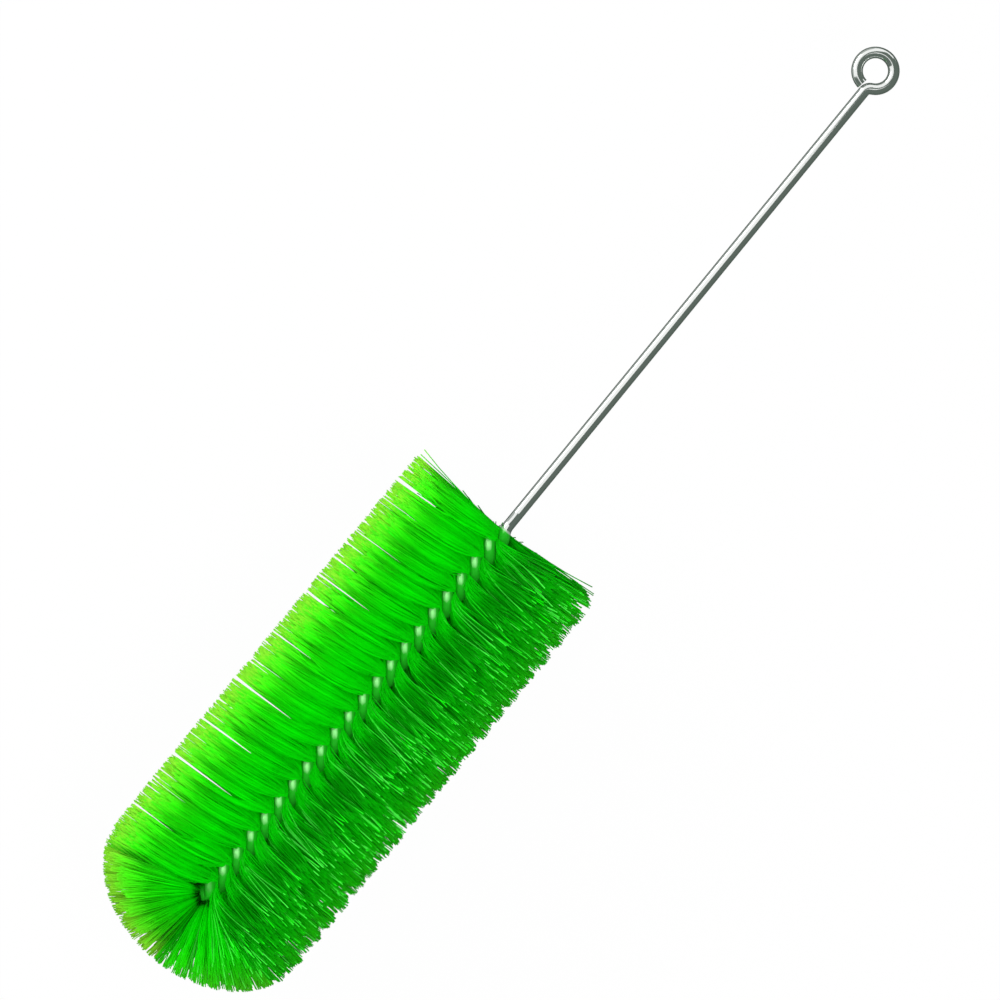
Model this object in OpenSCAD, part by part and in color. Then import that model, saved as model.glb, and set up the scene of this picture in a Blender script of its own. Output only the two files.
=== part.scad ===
// Twisted-in-wire bottle brush: one folded steel wire with bundles of plastic filament caught in its twist.
// The brush lies on its side on z = 0. Its axis runs along X, with the handle towards +X.

/* [Whole brush] */
// Length from the crown of the head to the far side of the eye
overall_len = 400; // [370:1:460]

/* [Head] */
// Length of the bristled head, from its back edge to its crown
head_len = 190; // [176:1:206]
// Diameter over the bristle tips
head_d = 80; // [66:1:96]
// Length of the rounded end of the head
dome_len = 30; // [25:1:36]
// How far the bristles reach past the nose of the wire
tip_cover = 26; // [20:0.5:32]
// Distance from the head's back edge to the first filaments in the wire
root_start = 0.8; // [0:0.1:4]
// Length over which the bristles splayed to the back edge come upright
splay_len = 10; // [8:0.5:14]
// Length over which the last bristles gather to the rounded end
gather_len = 25; // [20:1:32]
// How far the tips sit forward of the roots, towards the crown
tip_lead = 4.9; // [2:0.1:8]
// How deep the bristles underneath are pressed flat where the head lies
flat_depth = 1; // [0.5:0.1:2]
// How far the bristles on top are combed over to the +Y side, in degrees
comb_left = 48; // [30:1:60]
// How far the bristles on top are combed over to the -Y side, in degrees
comb_right = 30; // [15:1:45]

/* [Wire] */
// Diameter of the wire
wire_d = 4; // [3.2:0.1:4.6]
// Gap that the filaments keep between the two strands
strand_gap = 0.5; // [0.4:0.05:0.7]
// Length along the core of one full turn of the strands
twist_pitch = 15.1; // [13.5:0.1:17]
// Distance from the head's back edge to where the handle's strand first crosses the top
first_cross = 0.65; // [-3:0.05:4]
// Length over which the strands take up the twist there
twist_in = 5; // [4:0.5:7]
// How far the short strand's cut end stands behind the head's back edge
short_end = 2; // [0:0.1:3]
// Where the handle starts to leave the axis, behind the head's back edge
entry_back = 7.5; // [6:0.5:12]
// Length over which the handle rises from the axis to the top of the core
entry_len = 6.5; // [5:0.5:7]

/* [Eye] */
// Inside diameter of the hanging eye
eye_bore = 8.6; // [7:0.1:14]
// Sideways offset of the eye's centre from the handle's axis
eye_offset = 1.4; // [0.5:0.1:2]
// Radius of the bend from the handle into the eye, on the wire's centre line
eye_bend = 2.6; // [2.4:0.1:4]
// Gap between the wire's cut end and the handle's side
eye_gap = 0.3; // [0.2:0.05:0.8]

/* [Bristles] */
// Tufts on each side of a bundle
tufts = 16; // [12:1:20]
// Thickness of the filaments pressed between the strands
pressed_t = 0.2; // [0.15:0.01:0.26]
// Thickness of a bundle along the core where it leaves the strands
root_t = 0.6; // [0.4:0.05:0.9]
// Share of the pitch that the tips of a bundle fill
tip_fill = 0.82; // [0.7:0.01:0.9]
// Slit between neighbouring tufts, in degrees round the axis
slit = 1.1; // [0.6:0.1:2]
// Space kept between neighbouring bundles along the core
bundle_gap = 0.2; // [0.1:0.05:0.4]
// How much shorter than the outline a tuft's corner may be
ragged = 1.4; // [0:0.1:2]
// How much narrower along the core than the rest a tuft's end may be, as a share
stray = 0.3; // [0:0.05:0.5]

/* [Tip tuft] */
// Angle round the rounded end at which the tip tuft takes over from the bundles
tuft_from = 20; // [16:1:26]
// Rows of tufts between there and the crown
tuft_rows = 5; // [4:1:6]
// Tufts in each row
tuft_cols = 20; // [16:1:24]
// Space between the nose of the wire and the filaments that wrap it
nose_gap = 0.3; // [0.2:0.05:0.6]
// Thickness of the filaments that wrap the nose
nose_wrap = 0.6; // [0.4:0.1:1]

/* [Hidden] */
wire_r = wire_d / 2;
axis_z = head_d / 2 - flat_depth;
back_x = head_len - overall_len / 2;

// Twisted core: distances along it are counted from the head's back edge towards the crown.
core_r = wire_r + strand_gap / 2;
half_pitch = twist_pitch / 2;
fold_s = head_len - tip_cover - core_r - wire_r;
wire_sides = 8;
rings_a_turn = 10;
ring_step = twist_pitch / rings_a_turn;
fold_steps = 8;
rod_lap = 1;
strand_inset = 0.02;

// Eye
eye_r = eye_bore / 2 + wire_r;
eye_x = overall_len / 2 - eye_r - wire_r;
eye_start = asin((eye_bend + eye_offset) / (eye_bend + eye_r));
eye_stop = asin((wire_r + eye_gap - eye_offset) / (eye_r + wire_r));
bend_x = eye_x - (eye_r + eye_bend) * cos(eye_start);
joint_x = back_x + entry_back;

// Bundles of filament: each takes half a turn of the core, and the last one what is left before the fold.
nose_clear = 0.3;
tuft_step = half_pitch / tufts;
step_count = floor((fold_s - nose_clear - root_start) / tuft_step);
bundle_count = round(step_count / tufts);
root_depth = 1;
root_r = core_r + wire_r - root_depth;
root_corners = 6;
spread = tip_fill * half_pitch / 2;
dome_s = head_len - dome_len;
last_tip = dome_s + dome_len * sin(tuft_from) - bundle_gap;

// Tip tuft
crown_angle = 85;
row_slit = 0.7;
col_slit = 0.9;
cup_r = core_r + wire_r + nose_gap;

$fn = 48;

function bundle_name(k) = str("bristles_", k < 10 ? "0" : "", k);

// A point s along the core, r from the axis, and a degrees round it from +Y towards +Z
function place(s, r, a) = [back_x - s, r * cos(a), axis_z + r * sin(a)];

// Angle of the handle's strand round the core. It comes in on top and then takes up the twist.
function turn(s) = let (u = s - first_cross, h = twist_in / 2)
    90 + 360 / twist_pitch * (u > h ? u : pow(max(0, u + h), 2) / (2 * twist_in));

function unit(v) = v / norm(v);

function ease(t) = let (u = min(1, max(0, t))) u * u * (3 - 2 * u);

// The two triangles of a four-cornered face
function quad(a, b, c, d) = [[a, b, c], [a, c, d]];

// ---- wire ----

function tangents(path) = let (n = len(path) - 1)
    [for (i = [0 : n]) unit(path[min(i + 1, n)] - path[max(i - 1, 0)])];

// A sideways direction at each point that never turns about the path
function carried(ts, up) = [for (i = 0, u = up; i < len(ts);
    i = i + 1, u = i < len(ts) ? unit(u - (u * ts[i]) * ts[i]) : u) u];

// A closed round bar of radius r along a path
module bar(path, r, sides) {
    ts = tangents(path);
    us = carried(ts, [0, 0, 1]);
    last = len(path) - 1;
    points = [for (i = [0 : last], j = [0 : sides - 1])
        let (a = 360 * j / sides) path[i] + r * (cos(a) * us[i] + sin(a) * cross(ts[i], us[i]))];
    skin = [for (i = [0 : last - 1], j = [0 : sides - 1])
        let (k = (j + 1) % sides, a = i * sides, b = a + sides)
        each quad(a + j, b + j, b + k, a + k)];
    ends = [[for (j = [0 : sides - 1]) j], [for (j = [sides - 1 : -1 : 0]) last * sides + j]];
    polyhedron(points, concat(skin, ends));
}

// The handle's strand down the core, round the fold at the nose, and the short strand back
function strand_path() = let (
    down = ceil((fold_s + entry_back) / ring_step),
    up = ceil((fold_s + short_end) / ring_step)
) concat(
    [place(-entry_back - rod_lap, 0, 0)],
    [for (i = [0 : down]) let (s = -entry_back + (fold_s + entry_back) * i / down)
        place(s, core_r * ease((s + entry_back) / entry_len), turn(s))],
    [for (i = [1 : fold_steps - 1]) let (t = 180 * i / fold_steps, s = fold_s + core_r * sin(t))
        place(s, core_r * cos(t), turn(s))],
    [for (i = [0 : up]) let (s = fold_s - (fold_s + short_end) * i / up) place(s, -core_r, turn(s))]
);

// An arc of wire round the origin, from +X and through an angle
module bent_rod(r, through) {
    rotate_extrude(angle = through) translate([r, 0]) circle(d = wire_d);
}

// The bend at the end of the handle, from where it leaves the ring, and the ring itself
module eye() {
    bent_rod(eye_bend, 90 - eye_start);
    translate([eye_bend + eye_r, 0, 0]) rotate([0, 0, 180]) bent_rod(eye_r, 360 - eye_start - eye_stop);
}

module wire() {
    color("silver") {
        bar(strand_path(), wire_r - strand_inset, wire_sides);
        translate([joint_x, 0, axis_z]) rotate([0, 90, 0]) cylinder(d = wire_d, h = bend_x - joint_x);
        translate([bend_x, -eye_bend, axis_z]) rotate([0, 0, eye_start]) eye();
    }
}

// ---- bristles ----

// Radius of the trimmed outline
function outline(s) = s <= dome_s ? head_d / 2 : head_d / 2 * sqrt(1 - pow((s - dome_s) / dome_len, 2));

// Where the angle a goes when the bristles on the upper half are combed apart: the nearer they are
// to the top, the further they go. The middle of their tuft decides the side, and share how far.
function combed(a, middle, share) = let (
    from_top = middle - 90 - 360 * floor((middle + 90) / 360),
    side = from_top < 0 ? -1 : 1,
    near = max(0, 1 - side * (from_top + a - middle) / 90)
) a + side * share * (side < 0 ? comb_left : comb_right) * near;

// Radius at which the ground stops a bristle
function ground(a) = sin(a) < 0 ? axis_z / -sin(a) : head_d;

function trimmed(s, a, short) = ground(a) < outline(s)
    ? place(s, ground(a), a)
    : place(s, min(outline(s) - short, ground(a)), a);

// A size varied by the chance c, from half to one and a half times
function about(x, c) = x * (0.5 + c);

// Where the tip of a filament rooted near s stands along the head. Tips are a little forward
// of their roots. The ones at the back splay to its edge, and the last gather to the dome.
// i is the tuft's number along the core, which tells how many passes come before and after it.
function tip_s(s, off, i) = let (
    p = s + off,
    first = s - floor(i / tufts) * half_pitch - spread,
    last = s + floor((step_count - 1 - i) / tufts) * half_pitch + spread
) p + tip_lead
    - (first + tip_lead) * exp((first - p) / splay_len)
    + (last_tip - last - tip_lead) * pow(max(0, 1 - (last - p) / gather_len), 2);

// Six corners of a bundle's root where the filaments cross between the strands
function root_line(s) = let (a = turn(s) + 90, h = root_t / 2) [
    place(s + h, root_r, a),
    place(s, pressed_t / 2, a - 90),
    place(s - h, root_r, a + 180),
    place(s + h, root_r, a + 180),
    place(s, pressed_t / 2, a + 90),
    place(s - h, root_r, a)
];

// Four corners of tuft i's trimmed end. The chances c, from 0 to 1, leave it a little
// short and a little out of place.
function tuft_end(i, side, c) = let (
    s0 = root_start + i * tuft_step,
    s1 = s0 + tuft_step,
    middle = turn((s0 + s1) / 2) + 90 + side,
    a0 = combed(turn(s0) + 90 + side + about(slit, c[0]), middle, 1),
    a1 = combed(turn(s1) + 90 + side - about(slit, c[1]), middle, 1),
    ahead = spread * (1 - stray * c[2]),
    behind = spread * (1 - stray * c[3])
) [
    trimmed(tip_s(s1, ahead, i), a1, ragged * c[0]),
    trimmed(tip_s(s0, ahead, i), a0, ragged * c[1]),
    trimmed(tip_s(s0, -behind, i), a0, ragged * c[2]),
    trimmed(tip_s(s1, -behind, i), a1, ragged * c[3])
];

// Sides and end of a tuft that grows from the root corners r0..r3 to four corners from t on
function tuft_faces(r0, r1, r2, r3, t) = concat(
    quad(r0, r1, t + 1, t),
    quad(r1, r2, t + 2, t + 1),
    quad(r3, t + 3, t + 2, r2),
    quad(r0, t, t + 3, r3),
    quad(t, t + 1, t + 2, t + 3)
);

// The filaments caught along one stretch of the core, both halves of each
module bristles(k) {
    first = (k - 1) * tufts;
    count = k < bundle_count ? tufts : step_count - first;
    from = root_start + first * tuft_step + bundle_gap / 2;
    root_step = tuft_step - bundle_gap / count;
    chances = rands(0, 1, 8 * count, k);
    roots = [for (i = [0 : count]) each root_line(from + i * root_step)];
    ends = [for (side = [0, 1], i = [0 : count - 1])
        let (c = [for (j = [0 : 3]) chances[4 * (side * count + i) + j]])
        each tuft_end(first + i, 180 * side, c)];
    web = [for (i = [0 : count - 1], j = [0, 1, 3, 4]) let (a = root_corners * i, b = a + root_corners)
        each quad(a + j, b + j, b + j + 1, a + j + 1)];
    z = root_corners * count;
    back_cap = concat(quad(0, 1, 4, 5), quad(1, 2, 3, 4));
    front_cap = concat(quad(z + 5, z + 4, z + 1, z), quad(z + 4, z + 3, z + 2, z + 1));
    tuft_skin = [for (side = [0, 1], i = [0 : count - 1]) let (
        a = root_corners * i,
        b = a + root_corners,
        t = len(roots) + 4 * (side * count + i)
    ) each side == 0 ? tuft_faces(b, a, a + 5, b + 5, t) : tuft_faces(b + 3, a + 3, a + 2, b + 2, t)];
    color("limegreen") polyhedron(concat(roots, ends), concat(web, back_cap, front_cap, tuft_skin));
}

// ---- tip tuft ----

function row_angle(j) = tuft_from + (crown_angle - tuft_from) * j / tuft_rows;

// Where the outline stands at an angle round the rounded end
function dome_point(b) = [dome_s + dome_len * sin(b), head_d / 2 * cos(b)];

// A point r from the centre of the fold, on the line from there to the outline
function cup_point(b, a, r) = let (p = dome_point(b), lean = atan2(p[0] - fold_s, p[1]))
    place(fold_s + r * sin(lean), r * cos(lean), a);

function dome_end(b, a, short) = let (p = dome_point(b))
    place(p[0] - short * sin(b), p[1] - short * cos(b), a);

// The same for a tuft's corner, combed less towards the crown
function tip_end(b, a, middle, short) =
    dome_end(b, combed(a, middle, (crown_angle - b) / (crown_angle - tuft_from)), short);

// The last filaments, wrapped round the nose of the wire and splayed forward over it
module tip_tuft() {
    turn_step = 360 / tuft_cols;
    grid = (tuft_rows + 1) * tuft_cols;
    chances = rands(0, 1, 4 * tuft_rows * tuft_cols, bundle_count + 1);
    outer = [for (j = [0 : tuft_rows], i = [0 : tuft_cols - 1])
        cup_point(row_angle(j), i * turn_step, cup_r + nose_wrap)];
    inner = [for (j = [0 : tuft_rows], i = [0 : tuft_cols - 1])
        cup_point(row_angle(j), i * turn_step, cup_r)];
    ends = [for (j = [0 : tuft_rows - 1], i = [0 : tuft_cols - 1]) let (
        c = [for (n = [0 : 3]) chances[4 * (j * tuft_cols + i) + n]],
        b0 = row_angle(j) + about(row_slit, c[0]),
        b1 = row_angle(j + 1) - about(row_slit, c[1]),
        a0 = i * turn_step + about(col_slit, c[2]),
        a1 = (i + 1) * turn_step - about(col_slit, c[3]),
        middle = (i + 0.5) * turn_step
    ) each [
        tip_end(b0, a0, middle, ragged * c[0]),
        tip_end(b0, a1, middle, ragged * c[1]),
        tip_end(b1, a1, middle, ragged * c[2]),
        tip_end(b1, a0, middle, ragged * c[3])
    ]];
    crown = [for (i = [0 : tuft_cols - 1]) dome_end(crown_angle + row_slit, i * turn_step, 0)];
    nose = [place(fold_s + cup_r, 0, 0)];
    first_end = 2 * grid;
    first_crown = first_end + len(ends);
    nose_at = first_crown + tuft_cols;
    top = tuft_rows * tuft_cols;
    tuft_skin = [for (j = [0 : tuft_rows - 1], i = [0 : tuft_cols - 1]) let (
        k = (i + 1) % tuft_cols,
        a = j * tuft_cols,
        b = a + tuft_cols
    ) each tuft_faces(a + i, a + k, b + k, b + i, first_end + 4 * (a + i))];
    cup_skin = [for (j = [0 : tuft_rows - 1], i = [0 : tuft_cols - 1]) let (
        k = (i + 1) % tuft_cols,
        a = grid + j * tuft_cols,
        b = a + tuft_cols
    ) each quad(a + i, b + i, b + k, a + k)];
    rim = [for (i = [0 : tuft_cols - 1]) let (k = (i + 1) % tuft_cols) each quad(i, grid + i, grid + k, k)];
    crown_skin = [for (i = [0 : tuft_cols - 1]) let (k = (i + 1) % tuft_cols)
        each concat(
            quad(top + i, top + k, first_crown + k, first_crown + i),
            [[grid + top + i, nose_at, grid + top + k]]
        )];
    crown_cap = [[for (i = [0 : tuft_cols - 1]) first_crown + i]];
    color("limegreen") polyhedron(
        concat(outer, inner, ends, crown, nose),
        concat(tuft_skin, cup_skin, rim, crown_skin, crown_cap)
    );
}

for (k = [1 : bundle_count]) bristles(k);
wire();
tip_tuft();
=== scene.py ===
# Twisted-in-wire bottle brush: a polished wire with every filament of the head as its own bristle.
import math

import bpy
import numpy as np
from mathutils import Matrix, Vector


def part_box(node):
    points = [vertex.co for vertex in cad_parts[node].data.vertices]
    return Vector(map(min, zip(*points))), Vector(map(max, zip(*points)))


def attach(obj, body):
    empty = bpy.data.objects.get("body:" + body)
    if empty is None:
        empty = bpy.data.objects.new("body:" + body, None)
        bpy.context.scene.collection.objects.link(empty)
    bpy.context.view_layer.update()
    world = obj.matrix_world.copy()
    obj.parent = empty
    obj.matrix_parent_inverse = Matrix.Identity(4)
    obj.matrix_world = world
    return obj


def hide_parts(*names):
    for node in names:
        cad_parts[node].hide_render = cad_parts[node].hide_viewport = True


mm = 0.001

print("loading the frame")
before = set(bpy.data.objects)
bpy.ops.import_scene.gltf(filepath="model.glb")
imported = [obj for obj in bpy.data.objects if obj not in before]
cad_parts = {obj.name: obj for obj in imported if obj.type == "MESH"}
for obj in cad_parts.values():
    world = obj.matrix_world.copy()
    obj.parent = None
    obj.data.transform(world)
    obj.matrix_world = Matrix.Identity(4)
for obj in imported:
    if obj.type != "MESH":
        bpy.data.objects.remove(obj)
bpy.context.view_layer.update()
wireLow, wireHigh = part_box("wire")

# The twisted core. Distances along it run from the back edge of the head to its crown.
core = {
    "backX": -10 * mm,
    "axisZ": (wireLow.z + wireHigh.z) / 2,
    "radius": 2.25 * mm,
    "wireRadius": 2 * mm,
    "pitch": 15.1 * mm,
    "firstCross": 0.65 * mm,
    "twistIn": 5 * mm,
    "foldAt": 159.75 * mm,
}
halfPitch = core["pitch"] / 2


# angle of the handle's strand round the core: it comes in on top and then takes up the twist
def turnAt(s):
    past = s - core["firstCross"]
    start = np.clip(past + core["twistIn"] / 2, 0, None) ** 2 / (2 * core["twistIn"])
    return math.pi / 2 + np.where(past > core["twistIn"] / 2, past, start) * 2 * math.pi / core["pitch"]


# the point at a distance along the core, a distance from its axis and an angle round it
def place(s, r, a):
    return np.stack([core["backX"] - s, r * np.cos(a), core["axisZ"] + r * np.sin(a)], axis=-1)


def deselectAll():
    bpy.ops.object.select_all(action="DESELECT")


# A socket of a material that can be written into a sum, and the nodes that make one.
class Link:
    def __init__(self, finish, socket):
        self.finish = finish
        self.socket = socket

    def maths(self, operation, first, second):
        return self.finish.node("ShaderNodeMath", {"operation": operation}, {0: first, 1: second})

    def __add__(self, other):
        return self.maths("ADD", self, other)

    def __sub__(self, other):
        return self.maths("SUBTRACT", self, other)

    def __rsub__(self, other):
        return self.maths("SUBTRACT", other, self)

    def __mul__(self, other):
        return self.maths("MULTIPLY", self, other)

    __radd__ = __add__
    __rmul__ = __mul__


class Finish:
    def __init__(self, tree):
        self.tree = tree
        tree.nodes.clear()

    def node(self, kind, settings=None, inputs=None, output=0):
        made = self.tree.nodes.new(kind)
        for name, value in (settings or {}).items():
            if name == "stops":
                self.setStops(made.color_ramp.elements, value)
            else:
                setattr(made, name, value)
        for name, value in (inputs or {}).items():
            if isinstance(value, Link):
                self.tree.links.new(value.socket, made.inputs[name])
            else:
                made.inputs[name].default_value = value
        return Link(self, made.outputs[output]) if len(made.outputs) else None

    def setStops(self, elements, stops):
        while len(elements) < len(stops):
            elements.new(1)
        for element, (at, colour) in zip(elements, stops):
            element.position = at
            element.color = (*colour, 1)

    # from the first colour to the second as the share goes from 0 to 1
    def blend(self, share, first, second):
        first, second = ((*c, 1) if isinstance(c, tuple) else c for c in (first, second))
        return self.node("ShaderNodeMix", {"data_type": "RGBA"}, {0: share, 6: first, 7: second}, output=2)

    def vector(self, operation, *parts):
        output = 1 if operation == "DOT_PRODUCT" else 0
        return self.node("ShaderNodeVectorMath", {"operation": operation}, dict(enumerate(parts)), output)

    # 0 up to the first value and 1 from the second, or the other way round
    def fade(self, value, start, end):
        return self.node("ShaderNodeMapRange", {}, {"Value": value, "From Min": start, "From Max": end})

    # 1 where a surface is seen by the camera, in a shine or through something clear
    def inSight(self):
        outputs = self.node("ShaderNodeLightPath").socket.node.outputs
        rays = ("Is Camera Ray", "Is Glossy Ray", "Is Transmission Ray")
        camera, glossy, passed = (Link(self, outputs[ray]) for ray in rays)
        return camera + glossy + passed


def newMaterial(name):
    material = bpy.data.materials.new(name)
    material.use_nodes = True
    return material, Finish(material.node_tree)


view = {
    "turn": -50.7,
    "centre": (-3.2 * mm, 7.8 * mm),
    "frameWidth": 342 * mm,
    "distance": 4.0,
    "sensor": 36,
    "farthest": 20,
}


def addCamera():
    deselectAll()
    bpy.ops.object.camera_add(
        location=(*view["centre"], core["axisZ"] + view["distance"]),
        rotation=(0, 0, math.radians(view["turn"])))
    camera = bpy.context.object
    camera.data.sensor_width = view["sensor"]
    camera.data.lens = view["sensor"] * view["distance"] / view["frameWidth"]
    camera.data.clip_end = view["farthest"]
    bpy.context.scene.camera = camera


wireLook = {
    "entryBack": 7.5 * mm,
    "entryLength": 6.5 * mm,
    "shortEnd": -2 * mm,
    "eyeBore": 8.6 * mm,
    "eyeOffset": 1.4 * mm,
    "eyeBend": 2.6 * mm,
    "eyeGap": 0.3 * mm,
    "tip": 200 * mm,
    "eyeStep": 6,  # degrees between rings
    "handleSteps": 12,
    "ringsPerTurn": 22,
    "foldSteps": 10,
    "roundSteps": 3,
    "smoothUnder": 50,
}

steelLook = {
    "colour": (0.86, 0.88, 0.86),
    "grain": (60, 2500, 2500),  # drawn out along the handle
    "grainStrength": 0.02,
    "grainDepth": 0.1 * mm,
    "blotches": 90.0,
    "roughness": (0.07, 0.08),  # and what the blotches add
    "specular": 0.3,
    # between the bristles, where the strands are painted the dark green of the bristles that they reflect
    "headEdge": 0.5 * mm,
    "paintedBristleReflection": (0.01, 0.34, 0.01),
    "coreRoughness": 0.18,
    "coreDull": 0.9,
    # painted highlight: the pale crest of each turn there, where the light catches it, by how high it is this
    # way from the axis
    "crestHighlightColour": (0.32, 0.90, 0.29),
    "crestHighlightWay": (0, 0.35, 0.94),
    "crestHighlightFrom": (3.65 * mm, 4.2 * mm),
    "crestHighlightShine": 0.6,
    # where the painted highlight fades out towards the fold
    "foldFrom": (9 * mm, 3 * mm),
    "foldGreen": 0.8,
}


def ease(t):
    t = min(1, max(0, t))
    return t * t * (3 - 2 * t)


# the bent part of the path between two angles round a centre
def arc(centre, radius, start, stop):
    count = max(2, round(abs(stop - start) / math.radians(wireLook["eyeStep"])))
    angles = [start + (stop - start) * i / count for i in range(count + 1)]
    return [(centre[0] + radius * math.cos(a), centre[1] + radius * math.sin(a), core["axisZ"])
            for a in angles]


def wirePath():
    look = wireLook
    wireRadius = core["wireRadius"]
    ringRadius = look["eyeBore"] / 2 + wireRadius
    eyeX = look["tip"] - ringRadius - wireRadius
    lean = math.asin((look["eyeBend"] + look["eyeOffset"]) / (look["eyeBend"] + ringRadius))
    stop = math.asin((wireRadius + look["eyeGap"] - look["eyeOffset"]) / (ringRadius + wireRadius))
    bendX = eyeX - (ringRadius + look["eyeBend"]) * math.cos(lean)
    # from the cut end round the eye, through the bend and down the handle
    points = arc((eyeX, look["eyeOffset"]), ringRadius, 3 * math.pi - stop, math.pi + lean)
    points += arc((bendX, -look["eyeBend"]), look["eyeBend"], lean, math.pi / 2)[1:]
    handleEnd = core["backX"] + look["entryBack"]
    steps = look["handleSteps"]
    points += [(bendX + (handleEnd - bendX) * i / steps, 0, core["axisZ"]) for i in range(1, steps)]
    # down one strand of the core, round the fold and up the other
    ring = core["pitch"] / look["ringsPerTurn"]
    down = round((core["foldAt"] + look["entryBack"]) / ring)
    for i in range(down + 1):
        s = -look["entryBack"] + (core["foldAt"] + look["entryBack"]) * i / down
        out = ease((s + look["entryBack"]) / look["entryLength"])
        points.append(tuple(place(s, core["radius"] * out, turnAt(s))))
    for i in range(1, look["foldSteps"]):
        t = math.pi * i / look["foldSteps"]
        s = core["foldAt"] + core["radius"] * math.sin(t)
        points.append(tuple(place(s, core["radius"] * math.cos(t), turnAt(s))))
    up = round((core["foldAt"] - look["shortEnd"]) / ring)
    for i in range(up + 1):
        s = core["foldAt"] - (core["foldAt"] - look["shortEnd"]) * i / up
        points.append(tuple(place(s, -core["radius"], turnAt(s))))
    return points


def polishedSteel():
    look = steelLook
    material, finish = newMaterial("polishedSteel")
    where = finish.node("ShaderNodeTexCoord", output="Object")
    along = finish.node("ShaderNodeMapping", {}, {"Vector": where, "Scale": look["grain"]})
    drawn = finish.node("ShaderNodeTexNoise", {}, {"Vector": along, "Scale": 1.0, "Detail": 3.0})
    blotch = finish.node("ShaderNodeTexNoise", {}, {"Vector": where, "Scale": look["blotches"], "Detail": 2.0})
    bump = finish.node("ShaderNodeBump", {}, {
        "Height": drawn, "Strength": look["grainStrength"], "Distance": look["grainDepth"]})
    # between the bristles the strands are duller, and painted with the dark green of the bristles that they
    # reflect
    lengthwise = finish.node("ShaderNodeSeparateXYZ", {}, {"Vector": where})
    foldX = core["backX"] - core["foldAt"]
    inHead = finish.fade(lengthwise, core["backX"] + look["headEdge"], core["backX"] - look["headEdge"])
    nearFold = finish.fade(lengthwise, foldX + look["foldFrom"][0], foldX + look["foldFrom"][1])
    # painted highlight: only the crest of each turn is painted pale, and none at the fold
    fromAxis = finish.vector("SUBTRACT", where, (0, 0, core["axisZ"]))
    crestHighlight = finish.fade(finish.vector("DOT_PRODUCT", fromAxis, look["crestHighlightWay"]), *look["crestHighlightFrom"])
    green = inHead * (1 - look["crestHighlightShine"] * crestHighlight)
    paintedReflectionAndHighlight = finish.blend(crestHighlight * (1 - look["foldGreen"] * nearFold), look["paintedBristleReflection"], look["crestHighlightColour"])
    smooth, blotched = look["roughness"]
    shader = finish.node("ShaderNodeBsdfPrincipled", {}, {
        "Base Color": finish.blend(inHead, look["colour"], paintedReflectionAndHighlight),
        "Metallic": 1 - look["coreDull"] * green,
        "Roughness": smooth + blotched * blotch + look["coreRoughness"] * inHead,
        "Specular IOR Level": look["specular"],
        "Normal": bump,
    })
    finish.node("ShaderNodeOutputMaterial", {}, {"Surface": shader})
    return material


def addWire():
    deselectAll()
    bpy.ops.curve.primitive_bezier_curve_add()
    wire = bpy.context.object
    wire.name = "bentWire"
    curve = wire.data
    curve.splines.clear()
    points = wirePath()
    spline = curve.splines.new("POLY")
    spline.points.add(len(points) - 1)
    for point, at in zip(spline.points, points):
        point.co = (*at, 1)
    curve.dimensions = "3D"
    curve.bevel_depth = core["wireRadius"]
    curve.bevel_resolution = wireLook["roundSteps"]
    curve.use_fill_caps = True
    bpy.ops.object.convert(target="MESH")
    wire = bpy.context.object
    bpy.ops.object.shade_smooth_by_angle(angle=math.radians(wireLook["smoothUnder"]))
    wire.data.materials.clear()
    wire.data.materials.append(polishedSteel())
    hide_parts("wire")
    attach(wire, "root")


# Where there are two values, the first is for the right side and the second for the left.
bristleLook = {
    "radius": 0.21 * mm,
    "sides": 3,
    "rings": (0.0, 0.055, 0.11, 0.18, 0.28, 0.42, 0.6, 0.8, 1.0),
    "perBundle": 430,
    "tufts": 16,
    "rootStart": 0.8 * mm,
    "rootLoose": 0.3 * mm,
    "noseClear": 0.3 * mm,
    "headRadius": 40 * mm,
    "headLength": 190 * mm,
    "domeLength": 30 * mm,
    "domeFrom": 20,
    "ragged": 1.6 * mm,
    "crown": (1.8 * mm, 0.5 * mm),
    "lowest": 0.3 * mm,  # where the ones underneath are pressed flat
    # how far the tips lead the roots, and over what length out from the core
    "tipLead": 4.9 * mm,
    "leanReach": (3.5 * mm, 14 * mm),
    "leanVaries": 0.45,
    # how they spread from the wire along the head
    "fill": (1.15, 2),
    "spreadReach": 3.5 * mm,
    "earlyRight": 0.4,
    "topCalm": 0.7,
    "backReach": 5 * mm,
    "backSplay": 1.6 * mm,
    "splayFade": 10 * mm,
    "gatherLength": 25 * mm,
    # locks of filaments, and the single ones that are caught on top of them
    "clumpsPerBundle": 46,
    "clumping": (0.6, 0.2),
    "clumpingVaries": (0.7, 1.2),
    "clumpPower": (1, 4),
    "catching": 0.12,
    "caughtLift": 0.03,
    # combed apart over the core
    "comb": (32, 48),
    "combBend": 3 * mm,
    "combVaries": 0.06,
    "combLimits": (0.97, 1.3),
    # what is uneven in each one, and how much less of it the left side has
    "bow": 0.5 * mm,
    "wander": 2,
    "leftLess": {"bow": 0.7, "wander": 0.5, "lean": 0.6},
    "strays": 0.15,
    "strayReach": 3.5 * mm,
    # where they have parted at the left rim
    "slits": {"count": 12, "wide": (0.7 * mm, 1.3 * mm), "from": (10 * mm, 26 * mm), "reach": 3 * mm},
    "nicks": {"count": 70, "wide": (0.3 * mm, 0.8 * mm), "from": (24 * mm, 38 * mm), "reach": 1.2 * mm},
    "gapSpot": 0.4,
    "gapLean": 0.05,
    "gapsOver": 7 * mm,
    "gapsMeet": 4.0,
    # where their painted light and shade change
    "rim": {"from": 0.9, "fade": 9, "sides": (0.02, 0.78)},
    "rimVaries": (0.4, 1.6),
    "shadeSlope": 4,
}
domeS = bristleLook["headLength"] - bristleLook["domeLength"]

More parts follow.
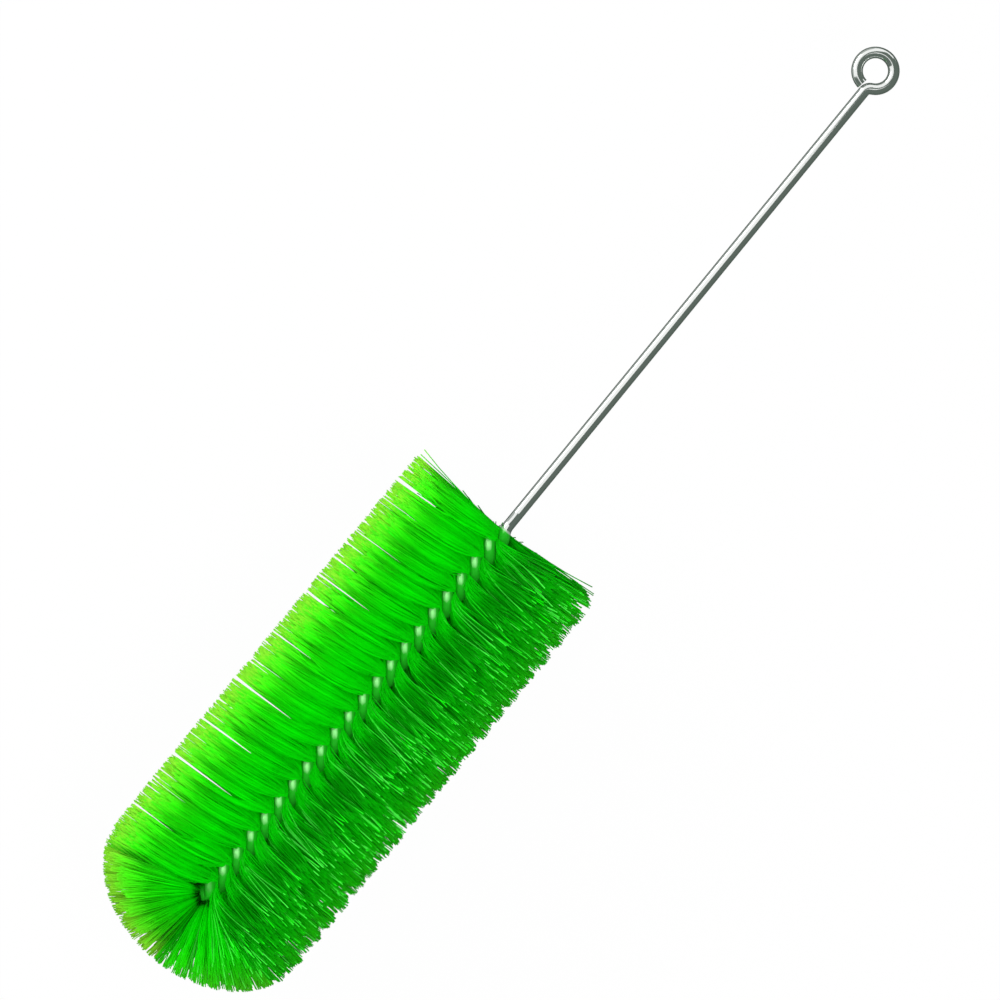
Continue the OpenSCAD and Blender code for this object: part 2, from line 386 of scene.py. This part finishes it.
filamentLook = {
    # painted shade: darker towards the core, where the filaments shade each other; from the core to the tip
    "stops": [
        (0.0, (0.0, 0.50, 0.0)),
        (0.15, (0.0, 0.58, 0.0)),
        (0.4, (0.0, 0.93, 0.0)),
        (1.0, (0.004, 0.93, 0.001)),
    ],
    # painted shade: the darker green that the right side is painted
    "deep": (0.001, 0.35, 0.001),
    # painted highlight: the paler green of single hairs that lie on top
    "glint": (0.07, 0.86, 0.07),
    # painted light: the yellow-green of tips that the light shines through at the left rim
    "rim": (0.28, 0.88, 0.03),
    "value": (0.92, 0.12),  # and what one filament may add
    "roughness": (0.38, 0.2),
    "specular": 0.06,
    "through": (0.01, 0.9, 0.002),
    "throughShare": (0.15, 0.08),  # and how much less where the right side is painted in shade
    "coatShare": 0.75,
    "coatFlat": 0.45,
}


def outlineAt(s):
    past = np.clip((s - domeS) / bristleLook["domeLength"], 0, 0.999)
    return bristleLook["headRadius"] * np.sqrt(1 - past ** 2)


# Tubes along many paths at once, as one mesh. Each is a copy of the same few-sided filament.
def filamentMesh(name, paths, values, rng):
    radius, sides = bristleLook["radius"], bristleLook["sides"]
    count, rings = paths.shape[:2]
    tangent = np.gradient(paths, axis=1)
    tangent /= np.linalg.norm(tangent, axis=2, keepdims=True)
    reference = np.where(np.abs(tangent[:, -1, :1]) > 0.8, [[0.0, 1.0, 0.0]], [[1.0, 0.0, 0.0]])[:, None, :]
    sideways = np.cross(tangent, np.broadcast_to(reference, tangent.shape))
    sideways /= np.linalg.norm(sideways, axis=2, keepdims=True)
    upward = np.cross(tangent, sideways)
    spin = rng.uniform(0, 2 * math.pi, (count, 1, 1))
    around = (spin + 2 * math.pi * np.arange(sides)[None, None, :] / sides)[..., None]
    out = np.cos(around) * sideways[:, :, None, :] + np.sin(around) * upward[:, :, None, :]
    vertices = paths[:, :, None, :] + radius * out
    index = np.arange(count * rings * sides).reshape(count, rings, sides)
    after = np.roll(index, -1, axis=2)
    quads = np.stack([index[:, :-1], after[:, :-1], after[:, 1:], index[:, 1:]], axis=-1).reshape(-1, 4)
    caps = np.concatenate([index[:, 0, ::-1], index[:, -1, :]])
    mesh = bpy.data.meshes.new(name)
    mesh.vertices.add(vertices.size // 3)
    mesh.vertices.foreach_set("co", vertices.astype(np.float32).ravel())
    corners = np.concatenate([quads.ravel(), caps.ravel()])
    sizes = np.concatenate([np.full(len(quads), 4), np.full(len(caps), sides)])
    mesh.loops.add(len(corners))
    mesh.loops.foreach_set("vertex_index", corners.astype(np.int32))
    mesh.polygons.add(len(sizes))
    mesh.polygons.foreach_set("loop_start", (np.cumsum(sizes) - sizes).astype(np.int32))
    mesh.polygons.foreach_set("use_smooth", np.ones(len(sizes), bool))
    mesh.update(calc_edges=True)
    for key, value in values.items():
        layer = mesh.attributes.new(key, "FLOAT", "POINT")
        full = np.broadcast_to(value.reshape(count, -1, 1), (count, rings, sides))
        layer.data.foreach_set("value", full.astype(np.float32).ravel())
    # one strip of the UV map for each filament
    across = np.broadcast_to(((np.arange(count) + 0.5) / count)[:, None, None], index.shape)
    across = across + (np.arange(sides) / (sides - 1) - 0.5)[None, None, :] * 0.8 / count
    upAlong = np.broadcast_to((np.arange(rings) / (rings - 1))[None, :, None], index.shape)
    spots = np.stack([across.ravel(), upAlong.ravel()], axis=-1)[corners]
    mesh.uv_layers.new(name="OFBake").data.foreach_set("uv", spots.astype(np.float32).ravel())
    mesh.validate()
    return mesh


def addPiece(name, mesh, material):
    piece = bpy.data.objects.new(name, mesh)
    bpy.context.scene.collection.objects.link(piece)
    mesh.materials.append(material)
    return piece


def greenFilament():
    look = filamentLook
    material, finish = newMaterial("greenFilament")
    along, tone, pale, shade, glint = (
        finish.node("ShaderNodeAttribute", {"attribute_name": key}, output="Fac")
        for key in ("along", "tone", "pale", "shade", "glint"))
    # painted shade: the green darkens towards the core
    shadedToCore = finish.node("ShaderNodeValToRGB", {"stops": look["stops"]}, {"Fac": along})
    # painted shade: the right side is painted darker
    deep = finish.blend(shade, shadedToCore, look["deep"])
    # painted highlight on the single hairs that lie on top
    lit = finish.blend(glint * tone, deep, look["glint"])
    # painted light: yellow-green at the left rim
    colour = finish.blend(pale, lit, look["rim"])
    value, valueVaries = look["value"]
    shaded = finish.node("ShaderNodeHueSaturation", {}, {"Color": colour, "Value": value + valueVaries * tone})
    # on the left the light finds them as one even coat that faces away from the core
    facing = finish.node("ShaderNodeNewGeometry", output="Normal")
    where = finish.node("ShaderNodeTexCoord", output="Object")
    domeX = core["backX"] - domeS
    fromAxis = finish.vector("SUBTRACT", where, (0, 0, core["axisZ"]))
    inDome = finish.vector("MINIMUM", fromAxis, (domeX, 1, 1))
    outward = finish.vector("MULTIPLY_ADD", inDome, (1, look["coatFlat"], 1), (-domeX, 0, 0))
    unit = finish.vector("NORMALIZE", outward)
    coatShare = look["coatShare"] - look["coatShare"] * shade
    coat = finish.node("ShaderNodeMix", {"data_type": "VECTOR"}, {0: coatShare, 4: facing, 5: unit}, output=1)
    rough, roughVaries = look["roughness"]
    shader = finish.node("ShaderNodeBsdfPrincipled", {}, {
        "Base Color": shaded,
        "Normal": finish.vector("NORMALIZE", coat),
        "Roughness": rough + roughVaries * tone,
        "Specular IOR Level": look["specular"],
    })
    through = finish.node("ShaderNodeBsdfTranslucent", {}, {"Color": (*look["through"], 1)})
    share, less = look["throughShare"]
    both = finish.node("ShaderNodeMixShader", {}, {0: share - less * shade, 1: shader, 2: through})
    finish.node("ShaderNodeOutputMaterial", {}, {"Surface": both})
    return material


# signed angle from the top of the head, positive towards the right
def angleFromTop(a):
    return (a + math.pi / 2) % (2 * math.pi) - math.pi


# 1 at the top of the head, down to 0 at its sides and below
def nearTop(fromTop):
    return np.clip(1 - np.abs(fromTop) * 2 / math.pi, 0, None)


# How far what grows at an angle from the top is combed over, as in the solids
def combed(fromTop):
    right, left = bristleLook["comb"]
    return np.radians(np.where(fromTop > 0, right, -left)) * nearTop(fromTop)


# a value between those of the two sides, by how far to the left a filament points
def bySide(key, leftShare):
    right, left = bristleLook[key]
    return right + (left - right) * leftShare


# painted light: how yellow-green a filament is painted, by how near it is to the outline, much more on the left
# where the light shines through the tips
def paintedRimShare(rim, edge, across):
    right, left = rim["sides"]
    return np.exp((edge - rim["from"]) * rim["fade"]) * np.where(across > 0, left, right)


# The gaps in the left rim, where the bristles have parted: a few deep slits right down
# to the ground and many nicks. Each filament stays on the side that its tip is on.
def gapsInRim():
    look = bristleLook
    rng = np.random.default_rng(5)
    for kind in (look["slits"], look["nicks"]):
        spacing = domeS / kind["count"]
        for number in range(kind["count"]):
            spot = spacing * (number + 0.5 + rng.uniform(-look["gapSpot"], look["gapSpot"]))
            yield spot, rng.uniform(*kind["wide"]), rng.uniform(*kind["from"]), kind["reach"]


def partedAtGaps(along, y, z):
    look = bristleLook
    for spot, wide, start, reach in gapsInRim():
        upright = -(spot + look["gapsOver"]) / look["gapsMeet"] * (z - core["axisZ"])
        line = spot + look["gapLean"] * (y - look["headRadius"]) + upright
        side = np.where(along[:, -1:] < line[:, -1:], -1, 1)
        off = (along - line) * side
        clear = np.maximum(off, 0)
        deep = np.sqrt(np.clip((y - start) / (look["headRadius"] - start), 0, 1))
        moved = clear + wide / 2 * deep * np.exp(-clear / reach)
        along = np.where((deep > 0) & (off > -reach), line + side * moved, along)
    return along


# Where the tips of what is rooted near s stand along the head, as in the solids
def tipS(s, off, passesBefore, passesAfter):
    look = bristleLook
    spread = halfPitch / 2
    lastTip = domeS + look["domeLength"] * math.sin(math.radians(look["domeFrom"]))
    at = s + off
    first = s - passesBefore * halfPitch - spread
    last = s + passesAfter * halfPitch + spread
    splay = (first + look["tipLead"]) * np.exp((first - at) / look["splayFade"])
    gathered = np.clip(1 - (last - at) / look["gatherLength"], 0, None) ** 2
    return at + look["tipLead"] - splay + (lastTip - last - look["tipLead"]) * gathered


# What would spread past either end of the head is turned back into it
def turnedBack(off, passesBefore, passesAfter):
    low = -(passesBefore + 0.5) * halfPitch
    high = (passesAfter + 0.5) * halfPitch
    off = np.where(off < low, 2 * low - off, off)
    return np.where(off > high, 2 * high - off, off)


# The paths of the filaments on one side of the core, from the core out to the tips
def halfPaths(s, side, before, after, rng):
    look = bristleLook
    less = look["leftLess"]
    count = len(s)
    off = rng.uniform(-1, 1, count)
    angle = turnAt(s) + math.pi / 2 + side * math.pi
    fromTop = angleFromTop(angle)
    # 1 where they point left and 0 where they point right, with the change at the bottom
    leftShare = (np.where(np.abs(fromTop) < math.pi / 2, -np.sign(fromTop), -np.sin(fromTop)) + 1) / 2
    spread = bySide("fill", leftShare) * halfPitch / 2
    # tips gather to the nearest of a few clump centres on the strip that they sweep
    arcScale = math.pi * look["headRadius"] / halfPitch
    centreS = rng.uniform(s.min(), s.max(), look["clumpsPerBundle"])
    centreOff = rng.uniform(-1, 1, look["clumpsPerBundle"])
    gap = np.hypot((s[:, None] - centreS) * arcScale, (off[:, None] - centreOff) * halfPitch / 2)
    nearest = gap.argmin(axis=1)
    pull = bySide("clumping", leftShare) * rng.uniform(*look["clumpingVaries"], count)
    caught = 1.0 * (rng.uniform(0, 1, count) < look["catching"])
    pull = pull * (1 - caught)
    clumpS = s + (centreS[nearest] - s) * pull
    clumpOff = off + (centreOff[nearest] - off) * pull
    tip = tipS(s, turnedBack(off * spread, before, after), before, after)
    clumpTip = tipS(s, turnedBack(clumpOff * spread, before, after), before, after)
    clumpAngle = (clumpS - s) * 2 * math.pi / core["pitch"]
    wander = rng.normal(0, math.radians(look["wander"]), count) * (1 - less["wander"] * leftShare)
    combing = rng.normal(1, look["combVaries"], count) - look["caughtLift"] * caught
    push = combed(fromTop) * np.clip(combing, *look["combLimits"])
    calm = np.where(fromTop > 0, 1, 1 - look["topCalm"] * nearTop(fromTop))
    leanReach = bySide("leanReach", leftShare)
    leanReach = leanReach * np.exp(rng.normal(0, look["leanVaries"], count) * (1 - less["lean"] * leftShare))
    crownRight, crownLeft = look["crown"]
    crown = np.where(fromTop > 0, crownRight, crownLeft)
    short = look["ragged"] * rng.uniform(0, 1, count) ** 2 + crown * off ** 2
    reach = outlineAt(tip) - short
    t = np.array(look["rings"])[None, :]
    r = reach[:, None] * t
    free = np.clip((r - core["wireRadius"]) / (reach[:, None] - core["wireRadius"]), 0, 1)
    beyond = np.clip(r - core["wireRadius"], 0, None)
    # at the back edge they lean towards the handle instead
    back = np.exp((look["rootStart"] - s) / look["backReach"])
    rootLead = look["tipLead"] - look["tipLead"] * back
    lean = rootLead[:, None] * (1 - np.exp(-beyond / leanReach[:, None]))
    # on the left they fan out close to the core, on the right they stay in locks
    early = 1 - np.exp(-beyond / look["spreadReach"])
    earlyShare = (look["earlyRight"] + (1 - look["earlyRight"]) * leftShare) * (1 - back)
    fan = free + (early - free) * earlyShare[:, None]
    arch = np.sin(free * math.pi)
    bowS = rng.normal(0, look["bow"], (count, 1)) * arch * (1 - less["bow"] * leftShare[:, None])
    bowA = rng.normal(0, look["bow"], (count, 1)) * arch / look["headRadius"]
    along = s[:, None] + lean + ((tip - s - look["tipLead"]) * calm)[:, None] * fan
    along = along + (look["tipLead"] - rootLead - look["backSplay"] * back)[:, None] * free + bowS
    stray = rng.uniform(0, look["strayReach"], count) * (rng.uniform(0, 1, count) < look["strays"] * back)
    along = along - stray[:, None] * free + rng.normal(0, look["rootLoose"], (count, 1)) * (1 - free)
    gathered = free ** bySide("clumpPower", leftShare)[:, None]
    along = along + (clumpTip - tip)[:, None] * gathered
    around = angle[:, None] + clumpAngle[:, None] * gathered + wander[:, None] * free + bowA
    around = around + push[:, None] * (1 - np.exp(-beyond / look["combBend"]))
    along = partedAtGaps(along, r * np.cos(around), core["axisZ"] + r * np.sin(around))
    paths = place(along, r, around)
    paths[..., 2] = np.maximum(paths[..., 2], look["lowest"])
    across = paths[..., 1] / look["headRadius"]
    # painted light: tips near the outline, mostly on the left, painted yellow-green
    pale = paintedRimShare(look["rim"], np.abs(across), across) * rng.uniform(*look["rimVaries"], count)[:, None]
    # painted shade and painted highlight: on the right most are painted a darker green, and single ones that
    # lie on top are painted paler, as if they catch the light
    glint = caught[:, None] * np.clip(-across * look["shadeSlope"], 0, 1)
    shade = np.clip(-across * look["shadeSlope"], 0, 1) - glint
    return paths, r / look["headRadius"], pale, shade, glint


def addBundle(number, material, stepCount, bundleCount):
    look = bristleLook
    rng = np.random.default_rng(100 + number)
    tuftStep = halfPitch / look["tufts"]
    first = (number - 1) * look["tufts"]
    steps = look["tufts"] if number < bundleCount else stepCount - first
    count = round(look["perBundle"] * steps / look["tufts"])
    index = first + rng.uniform(0, steps, count)
    s = look["rootStart"] + index * tuftStep
    before = np.floor(index / look["tufts"])
    after = np.floor((stepCount - 1 - np.floor(index)) / look["tufts"])
    # from one tip through the core to the other
    halves = zip(*(halfPaths(s, side, before, after, rng) for side in (0, 1)))
    paths, along, pale, shade, glint = (np.concatenate([one[:, :0:-1], other], axis=1) for one, other in halves)
    tone = rng.uniform(0, 1, count)
    name = f"filaments_{number:02d}"
    values = {"along": along, "pale": pale, "shade": shade, "glint": glint, "tone": tone}
    piece = addPiece(name, filamentMesh(name, paths, values, rng), material)
    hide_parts(f"bristles_{number:02d}")
    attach(piece, "root")


tipLook = {
    "filaments": 1900,
    "noseRadius": 4.3 * mm,
    "from": 18,
    "crownAngle": 85,
    "clumps": 220,
    "clumping": 0.35,
    "rings": (0.0, 0.15, 0.4, 0.7, 1.0),
    "along": (0.1, 0.9),
    "rim": {"from": 0.9, "fade": 8.5, "sides": (0.08, 0.8)},
    "shadeSlope": 1.3,
}


# the share of the combing left at an angle round the rounded end
def tuftShare(up):
    crown = tipLook["crownAngle"]
    return np.clip((crown - np.degrees(up)) / (crown - bristleLook["domeFrom"]), 0, 1)


# Angles round the rounded end and round the axis: even over it, by its girth, and combed
# less and less towards the crown
def spotsOnDome(number, rng):
    low = math.sin(math.radians(tipLook["from"]))
    up = np.arcsin(rng.uniform(low, 1, number))
    around = rng.uniform(0, 2 * math.pi, number)
    return up, around + combed(angleFromTop(around)) * tuftShare(up)


def onDome(up, around, short):
    s = domeS + (bristleLook["domeLength"] - short) * np.sin(up)
    r = (bristleLook["headRadius"] - short) * np.cos(up)
    return place(s, r, around)


def addTipTuft(material):
    look = tipLook
    rng = np.random.default_rng(77)
    count = look["filaments"]
    up, around = spotsOnDome(count, rng)
    centres = onDome(*spotsOnDome(look["clumps"], rng), 0)
    gap = np.linalg.norm(onDome(up, around, 0)[:, None] - centres[None], axis=2)
    nearest = gap.argmin(axis=1)
    pull = look["clumping"] * rng.uniform(*bristleLook["clumpingVaries"], count)[:, None]
    ragged = bristleLook["ragged"] * rng.uniform(0, 1, count) ** 2
    tips = onDome(up, around, ragged) * (1 - pull) + centres[nearest] * pull
    # from the nose of the wire
    nose = place(core["foldAt"], 0.0, 0.0)
    outward = tips - nose
    outward /= np.linalg.norm(outward, axis=1, keepdims=True)
    roots = nose + outward * look["noseRadius"]
    t = np.array(look["rings"])[None, :, None]
    paths = roots[:, None] * (1 - t) + tips[:, None] * t
    paths = paths + rng.normal(0, bristleLook["bow"], (count, 1, 3)) * np.sin(t * math.pi)
    start, rest = look["along"]
    along = np.broadcast_to(start + rest * t[..., 0], (count, len(look["rings"])))
    tone = rng.uniform(0, 1, count)
    across = paths[..., 1] / bristleLook["headRadius"]
    onward = (paths[..., 0] - core["backX"] + domeS) / bristleLook["domeLength"]
    # painted light: the rounded end's tips near the outline, mostly on the left, painted yellow-green
    pale = paintedRimShare(look["rim"], np.hypot(across, onward), across)
    # painted shade on the right, and a painted highlight on single ones that lie on top
    caught = rng.uniform(0, 1, (count, 1)) < bristleLook["catching"]
    glint = caught * np.clip(-across * bristleLook["shadeSlope"], 0, 1)
    shade = np.clip(-across * look["shadeSlope"], 0, 1) * (1 - glint)
    values = {"along": along, "pale": pale, "shade": shade, "glint": glint, "tone": tone}
    piece = addPiece("tipFilaments", filamentMesh("tipFilaments", paths, values, rng), material)
    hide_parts("tip_tuft")
    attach(piece, "root")


def addBristles():
    look = bristleLook
    material = greenFilament()
    tuftStep = halfPitch / look["tufts"]
    stepCount = math.floor((core["foldAt"] - look["noseClear"] - look["rootStart"]) / tuftStep)
    bundleCount = round(stepCount / look["tufts"])
    for number in range(1, bundleCount + 1):
        addBundle(number, material, stepCount, bundleCount)
    addTipTuft(material)


studio = {
    "floorSize": 6.0,
    "floorDrop": 0.1 * mm,
    "floorWhite": 0.96,
    "floorPaint": 0.6,
    # brighter from the left of the head and from its crown than from its right
    "worldStrength": 0.6,
    "worldTilt": (-0.15, 0.15, 0),
    "litX": -20 * mm,
    # fromTop is in degrees, and level 1 lights a white surface that faces the lamp to full white
    "lamps": {
        "keyLight": {"fromTop": 72, "distance": 1.2, "size": 0.9, "level": 0.52, "inShine": True},
        "topLight": {"fromTop": 0, "distance": 5.0, "size": 0.2, "level": 0.74, "inShine": False},
        "sideLight": {"fromTop": -25, "distance": 2.0, "size": 0.8, "level": 0.27, "inShine": False},
    },
    "bounces": 16,
    "diffuseBounces": 12,
}

# size, place, turn in degrees and colour
cards = {
    "darkCard": ((4.0, 1.6), (0, -0.5, 0.8), (90, 0, 0), (0.12, 0.15, 0.13)),
    "leftCard": ((1.6, 0.55), (0.1, 0.335, 0.0005), (0, 0, 0), (0.42, 0.45, 0.43)),
    "leftWall": ((1.6, 0.2), (0.1, 0.61, 0.1), (90, 0, 0), (0.42, 0.45, 0.43)),
    "lowCard": ((1.6, 0.58), (0, -0.21, 0.0005), (0, 0, 0), (0.10, 0.13, 0.11)),
    "eyeCard": ((1.0, 0.72), (0.686, -0.24, 0.5), (0, 0, 0), (0.12, 0.15, 0.13)),
    "bendCard": ((0.2, 0.4), (0.086, -0.255, 0.3), (0, 0, 0), (0.12, 0.15, 0.13)),
    "crownCard": ((1.0, 3.0), (-0.5, 0, 1.5), (90, 0, 90), (0.12, 0.15, 0.13)),
}


def addFloor():
    deselectAll()
    bpy.ops.mesh.primitive_plane_add(size=studio["floorSize"], location=(0, 0, -studio["floorDrop"]))
    floor = bpy.context.object
    floor.name = "floor"
    material, finish = newMaterial("whiteFloor")
    paint = finish.node("ShaderNodeBsdfDiffuse", {}, {"Color": (*[studio["floorPaint"]] * 3, 1)})
    glow = finish.node("ShaderNodeEmission", {}, {"Color": (1, 1, 1, 1), "Strength": 1.0})
    share = studio["floorWhite"] * finish.inSight()
    both = finish.node("ShaderNodeMixShader", {}, {0: share, 1: paint, 2: glow})
    finish.node("ShaderNodeOutputMaterial", {}, {"Surface": both})
    floor.data.materials.append(material)


# Cards that are seen only in a shine: they give the polished wire its dark edges
def addCard(name, size, location, turn, colour):
    deselectAll()
    rotation = [math.radians(angle) for angle in turn]
    bpy.ops.mesh.primitive_plane_add(size=1, location=location, rotation=rotation)
    card = bpy.context.object
    card.name = name
    card.scale = (*size, 1)
    bpy.ops.object.transform_apply(location=False, rotation=False, scale=True)
    material, finish = newMaterial(name)
    glow = finish.node("ShaderNodeEmission", {}, {"Color": (*colour, 1), "Strength": 1.0})
    finish.node("ShaderNodeOutputMaterial", {}, {"Surface": glow})
    card.data.materials.append(material)
    card.visible_camera = False
    card.visible_diffuse = False
    card.visible_transmission = False
    card.visible_shadow = False


def addWorld():
    world = bpy.data.worlds.new("studio")
    bpy.context.scene.world = world
    world.use_nodes = True
    finish = Finish(world.node_tree)
    seen = finish.inSight()
    where = finish.node("ShaderNodeTexCoord", output="Generated")
    ambient = studio["worldStrength"] + finish.vector("DOT_PRODUCT", where, studio["worldTilt"])
    strength = ambient + seen * (1 - ambient)
    sky = finish.node("ShaderNodeBackground", {}, {"Color": (1, 1, 1, 1), "Strength": strength})
    finish.node("ShaderNodeOutputWorld", {}, {"Surface": sky})


def addLamp(name, fromTop, distance, size, level, inShine):
    down = math.radians(fromTop)
    out = Vector((0, math.sin(down), math.cos(down)))
    target = Vector((studio["litX"], 0, core["axisZ"]))
    deselectAll()
    bpy.ops.object.light_add(type="AREA", location=target + out * distance)
    lamp = bpy.context.object
    lamp.name = name
    lamp.data.size = size
    lamp.data.energy = level * (math.pi * distance) ** 2
    lamp.rotation_euler = (-out).to_track_quat("-Z", "Y").to_euler()
    lamp.visible_glossy = inShine


print("camera")
addCamera()
print("bending the wire")
addWire()
print("setting the filaments")
addBristles()
print("floor, cards and lamps")
addFloor()
for name, card in cards.items():
    addCard(name, *card)
addWorld()
for name, lamp in studio["lamps"].items():
    addLamp(name, **lamp)
bpy.context.scene.view_settings.view_transform = "Standard"
# light passes on many times between filaments of so full a colour
bpy.context.scene.cycles.max_bounces = studio["bounces"]
bpy.context.scene.cycles.diffuse_bounces = studio["diffuseBounces"]
